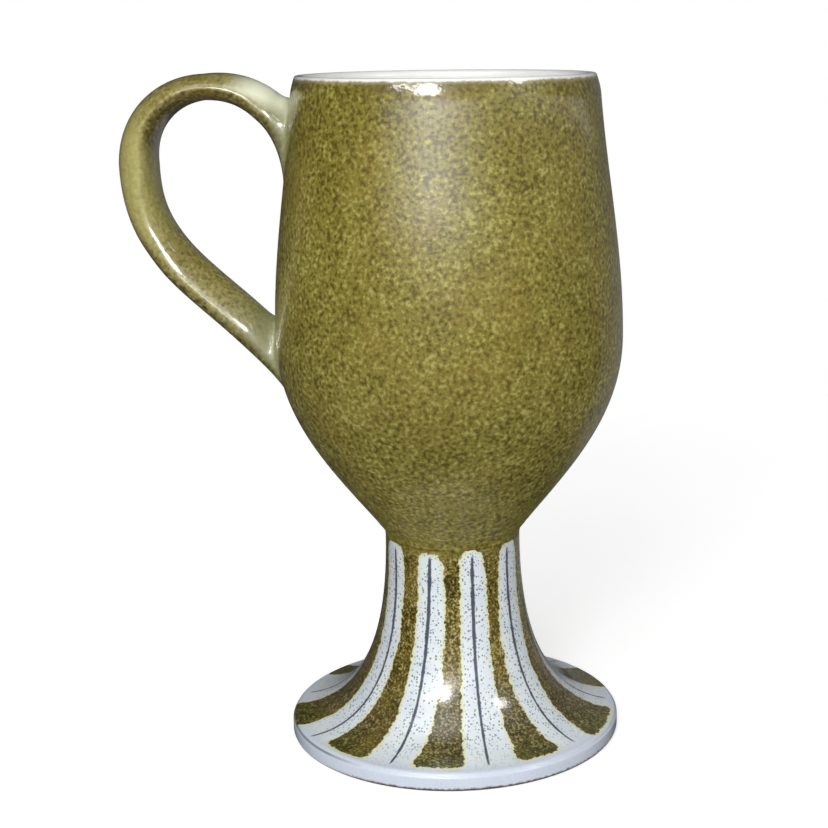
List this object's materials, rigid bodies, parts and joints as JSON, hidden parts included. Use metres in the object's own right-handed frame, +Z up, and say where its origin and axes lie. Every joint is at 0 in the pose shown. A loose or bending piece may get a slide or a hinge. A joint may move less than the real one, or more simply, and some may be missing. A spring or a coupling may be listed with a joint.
{
  "type": "pedestal mug",
  "caption": "Hand-thrown stoneware mug: rounded bowl on a hollow flared pedestal, with a strap handle, for hot drinks.",
  "frame": {"origin": "in the plane of the standing ring, at the middle of the overall box; the mug's axis is at x = +17.75 mm, half of the handle's reach", "axes": "+Z up along the mug's axis, from the foot to the lip; -X towards the handle; +Y completes the right-handed set"},
  "size_m": [0.1155, 0.08, 0.1557],
  "materials": {
    "bowl_glaze": "speckled olive semi-gloss glaze outside, white gloss glaze inside and on the lip",
    "pedestal_glaze": "olive glaze with brushed white stripes, bare clay on the standing ring",
    "handle_glaze": "speckled olive semi-gloss glaze",
    "slip": "fired joining slip, dark where the glaze breaks over it"
  },
  "bodies": {
    "root": {"bowl": "bowl_glaze", "pedestal": "pedestal_glaze", "handle": "handle_glaze", "stem_slip": "slip", "upper_root_slip": "slip", "lower_root_slip": "slip"}
  },
  "joints": []
}
